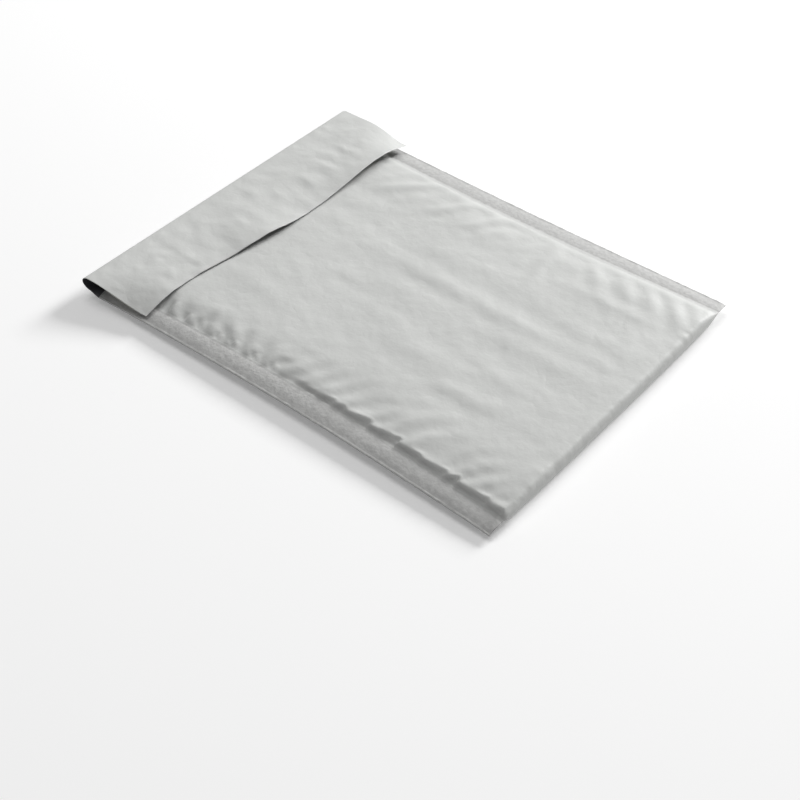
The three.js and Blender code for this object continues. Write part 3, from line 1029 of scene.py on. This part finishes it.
def bubble_centres(columns, rows):
    """Places of the bubbles on the lining's web, in a staggered pattern."""
    lowest = math.ceil((rows[0] + BUBBLE_MARGIN) / BUBBLE_ROW)
    highest = math.floor((rows[-1] - BUBBLE_MARGIN) / BUBBLE_ROW)
    outermost = columns[-1] - BUBBLE_MARGIN
    reach = int(outermost // BUBBLE_PITCH) + 1
    centres = []
    for j in range(lowest, highest + 1):
        shift = BUBBLE_PITCH / 2 if j % 2 else 0
        for i in range(-reach, reach + 1):
            place = i * BUBBLE_PITCH + shift
            if abs(place) < outermost:
                centres.append((place, j * BUBBLE_ROW))
    return centres


def film_ceiling(web):
    """Looks up the height of the front film's inner face over a place of the lining."""
    x, along, _, inside = web
    rows = np.flatnonzero(along[:, 0] <= 0)[::-1]
    across, onward = x[0], bend(along[rows, 0], END_RADIUS)[0] - HALF_LENGTH
    heights = inside[rows][..., 2]

    def look_up(px, py):
        i = np.clip(np.searchsorted(across, px) - 1, 0, len(across) - 2)
        j = np.clip(np.searchsorted(onward, py) - 1, 0, len(onward) - 2)
        a = share((px - across[i]) / (across[i + 1] - across[i]))
        b = share((py - onward[j]) / (onward[j + 1] - onward[j]))
        near = lerp(heights[j, i], heights[j, i + 1], a)
        return lerp(near, lerp(heights[j + 1, i], heights[j + 1, i + 1], a), b)

    return look_up


def bubble_domes(centres, ceiling):
    """One mesh of rounded domes that stand on the web, reach towards the film and end below it."""
    x0, a0 = np.array(centres).T
    turns = np.linspace(0, 2 * math.pi, DOME_SIDES, endpoint=False)
    points = []
    for reach, height in DOME_RINGS:
        x = x0[:, None] + BUBBLE_RADIUS * reach * np.cos(turns)
        along = a0[:, None] + BUBBLE_RADIUS * reach * np.sin(turns)
        inside, outside = lining_inside(x, along), lining_outside(x, along)
        ring = inside + height * (outside - inside)
        lowered = np.minimum(ring[..., 2], ceiling(x, outside[..., 1]) - DOME_CLEARANCE)
        ring[..., 2] = np.where(along < 0, np.maximum(lowered, inside[..., 2]), ring[..., 2])
        points.append(ring)
    points = np.stack(points, 1)
    count, rings, sides = points.shape[:3]
    index = np.arange(count * rings * sides).reshape(count, rings, sides)
    after = np.roll(index, -1, axis=2)
    around = np.stack([index[:, :-1], after[:, :-1], after[:, 1:], index[:, 1:]], -1)
    return points.reshape(-1, 3), around.reshape(-1, 4).tolist(), index[:, -1].tolist()


def bubble_lining(web, material):
    """The lining's thin web, folded at the bottom, with the domes on its outer side."""
    edge = BODY_HALF - LINING_INSET
    end = MOUTH_AT - LINING_SETBACK
    columns = stations([(-edge, LINING_SPACING[0])], edge)
    rows = stations([(-end, LINING_SPACING[1])], end)
    x, along = np.meshgrid(columns, rows)
    inside, outside = lining_inside(x, along), lining_outside(x, along)
    away = outside - inside
    height = np.linalg.norm(away, axis=-1, keepdims=True)
    above = inside + away * (WEB_THICKNESS / np.maximum(height, WEB_THICKNESS))
    web_points = np.concatenate([above.reshape(-1, 3), inside.reshape(-1, 3)])
    web_faces = np.concatenate([
        grid_faces(*x.shape),
        grid_faces(*x.shape, first=x.size, flip=True),
        rim_faces(*x.shape, x.size),
    ]).tolist()
    domes, sides, caps = bubble_domes(bubble_centres(columns, rows), film_ceiling(web))
    shift = len(web_points)
    faces = web_faces + [[i + shift for i in face] for face in sides + caps]
    mesh = bpy.data.meshes.new("bubble_film")
    mesh.from_pydata((np.concatenate([web_points, domes]) * MM).tolist(), [], faces)
    mesh.materials.append(material)
    mesh.shade_smooth()
    return linked_object("bubble_film", mesh)


def flap_layer(name, web, first, last, depth, thickness, material):
    """A strip on the inner side of the flap, between two stations along the film."""
    x, along, film, _ = web
    rows = np.flatnonzero((along[:, 0] > first - SAME) & (along[:, 0] < last + SAME))
    normals = grid_normals(film)
    outside = (film - depth * normals)[rows]
    inside = (film - (depth + thickness) * normals)[rows]
    return layer_object(name, outside, inside, [material])


# Materials


def opaque(color, darker=1):
    return (*(darker * c for c in color), 1)


def new_material(name, color, roughness):
    material = bpy.data.materials.new(name)
    material.use_nodes = True
    shader = material.node_tree.nodes["Principled BSDF"]
    shader.inputs["Base Color"].default_value = opaque(color)
    shader.inputs["Roughness"].default_value = roughness
    shader.inputs["Specular IOR Level"].default_value = SPECULAR
    return material, material.node_tree, shader


class Nodes:
    """Short names for a material's nodes and links."""

    def __init__(self, tree):
        self.tree = tree
        self.place = self.add("TexCoord").outputs["Object"]

    def add(self, kind, **inputs):
        node = self.tree.nodes.new("ShaderNode" + kind)
        for name, value in inputs.items():
            self.set(node, name.replace("_", " "), value)
        return node

    def set(self, node, name, value):
        if isinstance(value, bpy.types.NodeSocket):
            self.tree.links.new(value, node.inputs[name])
        else:
            node.inputs[name].default_value = value

    def stretched(self, scale):
        return self.add("Mapping", Vector=self.place, Scale=scale).outputs["Vector"]

    def noise(self, vector, scale, detail, distortion=0.0):
        node = self.add("TexNoise", Vector=vector, Scale=scale, Detail=detail)
        node.inputs["Distortion"].default_value = distortion
        return node.outputs["Fac"]

    def ranged(self, value, **ends):
        return self.add("MapRange", Value=value, **ends).outputs["Result"]

    def mark(self, name):
        node = self.add("Attribute")
        node.attribute_name = name
        return node.outputs["Fac"]

    def math(self, operation, a, b):
        node = self.add("Math")
        node.operation = operation
        self.set(node, 0, a)
        self.set(node, 1, b)
        return node.outputs["Value"]

    def mix(self, factor, a, b):
        node = self.add("Mix", Factor=factor)
        node.data_type = "RGBA"
        self.set(node, "A", a)
        self.set(node, "B", b)
        return node.outputs["Result"]

    def bump(self, height, strength, distance, under=None):
        node = self.add("Bump", Height=height, Strength=strength, Distance=distance)
        if under is not None:
            self.set(node, "Normal", under)
        return node.outputs["Normal"]


def film_material(name, dark, light, roughness):
    """Blown film: faint clouds and streaks in its colour, fine creases and crinkles, a soft haze."""
    material, tree, shader = new_material(name, light, roughness)
    nodes = Nodes(tree)
    clouds = nodes.noise(nodes.place, *CLOUDS)
    streaks = nodes.noise(nodes.stretched(STREAK_STRETCH), *STREAKS)
    tone = nodes.math(
        "ADD",
        nodes.math("MULTIPLY", clouds, 1 - STREAK_SHARE),
        nodes.math("MULTIPLY", streaks, STREAK_SHARE),
    )
    nodes.set(shader, "Base Color", nodes.mix(tone, opaque(dark), opaque(light)))
    haze = nodes.noise(nodes.place, *HAZE)
    range_ends = {"To_Min": roughness - HAZE_BELOW, "To_Max": roughness + HAZE_ABOVE}
    nodes.set(shader, "Roughness", nodes.ranged(haze, **range_ends))
    swell = nodes.math("SUBTRACT", nodes.noise(nodes.place, *CREASES), 0.5)
    folded = nodes.bump(nodes.math("ABSOLUTE", swell, 0), *CREASE_BUMP)
    crinkled = nodes.bump(nodes.noise(nodes.place, *CRINKLES), *CRINKLE_BUMP, folded)
    grainy = nodes.bump(nodes.noise(nodes.place, *GRAIN), *GRAIN_BUMP, crinkled)
    nodes.set(shader, "Normal", grainy)
    return material


def pouch_material(name, weld_tone_and_shade, dark, light, roughness):
    """The outer film: its welded bands are matt, speckled and darker, partly as painted shade of the
    knurl.
    """
    material = film_material(name, dark, light, roughness)
    nodes = Nodes(material.node_tree)
    shader = material.node_tree.nodes["Principled BSDF"]
    plain, soft, under = (
        shader.inputs[socket].links[0].from_socket for socket in ("Base Color", "Roughness", "Normal")
    )
    weld = nodes.mark("weld")
    speckle = nodes.noise(nodes.place, *SPECKLE)
    contrast = nodes.ranged(speckle, From_Min=SPECKLE_RANGE[0], From_Max=SPECKLE_RANGE[1])
    # Dark specks and the bands' darker tone: partly painted shade of the knurl, partly the matt
    # pressed film
    darker, lighter = opaque(weld_tone_and_shade, SPECKLE_SHADE_DARKEST), opaque(weld_tone_and_shade)
    banded_and_shaded = nodes.mix(weld, plain, nodes.mix(contrast, darker, lighter))
    # Painted shade along the seam: a dark line, fading out over the band
    line = nodes.math("MULTIPLY", nodes.mark("seam"), SEAM_SHADE_SHARE)
    drawn = nodes.mix(line, banded_and_shaded, opaque(weld_tone_and_shade, SEAM_SHADE_DARKEST))
    nodes.set(shader, "Base Color", drawn)
    rougher = nodes.math("ADD", soft, nodes.math("MULTIPLY", weld, WELD_ROUGHER))
    nodes.set(shader, "Roughness", rougher)
    height = nodes.math("MULTIPLY", speckle, weld)
    nodes.set(shader, "Normal", nodes.bump(height, *SPECKLE_BUMP, under))
    return material


# The room


def seen_by_eye(tree):
    """1 for what the eye sees, straight or in a reflection or through glass, and 0 for light."""
    path = tree.nodes.new("ShaderNodeLightPath")
    seen = path.outputs["Is Camera Ray"]
    for kind in ("Is Glossy Ray", "Is Transmission Ray"):
        either = tree.nodes.new("ShaderNodeMath")
        either.operation = "MAXIMUM"
        tree.links.new(seen, either.inputs[0])
        tree.links.new(path.outputs[kind], either.inputs[1])
        seen = either.outputs["Value"]
    return seen


def floor():
    """A pale floor that glows a little to the eye and keeps the bag's shadow."""
    half = FLOOR_SIZE / 2
    corners = [(-half, -half, 0), (half, -half, 0), (half, half, 0), (-half, half, 0)]
    mesh = bpy.data.meshes.new("floor")
    mesh.from_pydata(corners, [], [(0, 1, 2, 3)])
    made = linked_object("floor", mesh)
    made.location.z = FLOOR_LEVEL
    material, tree, shader = new_material("floor_white", FLOOR_TONE, 1.0)
    shader.inputs["Specular IOR Level"].default_value = 0
    shader.inputs["Emission Color"].default_value = (1, 1, 1, 1)
    glow = tree.nodes.new("ShaderNodeMath")
    glow.operation = "MULTIPLY"
    glow.inputs[1].default_value = FLOOR_GLOW
    tree.links.new(seen_by_eye(tree), glow.inputs[0])
    tree.links.new(glow.outputs["Value"], shader.inputs["Emission Strength"])
    mesh.materials.append(material)


def area_lamp(name, place, size, level):
    """A square lamp that lights the bag to the given level, where 1 shows colours as written."""
    data = bpy.data.lights.new(name, "AREA")
    data.shape = "SQUARE"
    data.size = size
    distance = Vector(place).length
    data.energy = level * math.pi**2 * distance**2
    lamp = linked_object(name, data)
    lamp.location = place
    lamp.rotation_euler = (-Vector(place)).to_track_quat("-Z", "Y").to_euler()


def room_light():
    """Surroundings that are white to the eye and dimmer as light, and the lamps."""
    world = bpy.data.worlds.new("room")
    bpy.context.scene.world = world
    world.use_nodes = True
    tree = world.node_tree
    back = tree.nodes["Background"]
    back.inputs["Color"].default_value = (1, 1, 1, 1)
    blend = tree.nodes.new("ShaderNodeMapRange")
    blend.inputs["To Min"].default_value = ROOM_LEVEL
    blend.inputs["To Max"].default_value = 1.0
    tree.links.new(seen_by_eye(tree), blend.inputs["Value"])
    tree.links.new(blend.outputs["Result"], back.inputs["Strength"])
    for lamp in LAMPS:
        area_lamp(*lamp)


def camera():
    """A camera that stands left of the bag's bottom and looks down at it."""
    yaw, pitch = math.radians(CAMERA_YAW), math.radians(CAMERA_PITCH)
    level = math.cos(pitch)
    ahead = Vector((math.cos(yaw) * level, math.sin(yaw) * level, -math.sin(pitch)))
    data = bpy.data.cameras.new("camera")
    data.sensor_width = CAMERA_SENSOR
    data.lens = CAMERA_LENS
    made = linked_object("camera", data)
    made.location = Vector(CAMERA_PLACE) * MM
    made.rotation_euler = ahead.to_track_quat("-Z", "Y").to_euler()
    bpy.context.scene.camera = made


def dress(piece, node):
    """A piece rides on the one body and stands for a node."""
    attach(piece, "root")
    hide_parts(node)


def build():
    """The four pieces: the pouch, its lining, and the adhesive and its paper under the flap."""
    grey = pouch_material("film_grey", WELD_TONE_AND_SHADE, *GREY_FILM)
    dark = film_material("film_inside", *INNER_FACE)
    bubble = film_material("film_bubble", *BUBBLE_FILM)
    glue = film_material("adhesive", *ADHESIVE)
    paper = film_material("liner_paper", *LINER_PAPER)

    web = film_web()
    pouch = outer_pouch(web, grey, dark)
    dress(pouch, "outer_pouch")

    lining = bubble_lining(web, bubble)
    dress(lining, "bubble_lining")

    depth = FILM + LAYER_GAP
    strip = flap_layer(
        "adhesive_film", web, ADHESIVE_FAR_AT, ADHESIVE_NEAR_AT, depth, ADHESIVE_THICKNESS, glue
    )
    dress(strip, "adhesive_strip")
    depth += ADHESIVE_THICKNESS + LAYER_GAP
    liner = flap_layer(
        "liner_strip", web, LINER_FAR_AT, LINER_NEAR_AT, depth, LINER_THICKNESS, paper
    )
    dress(liner, "release_liner")


camera()
floor()
room_light()
build()
bpy.context.scene.view_settings.view_transform = "Standard"
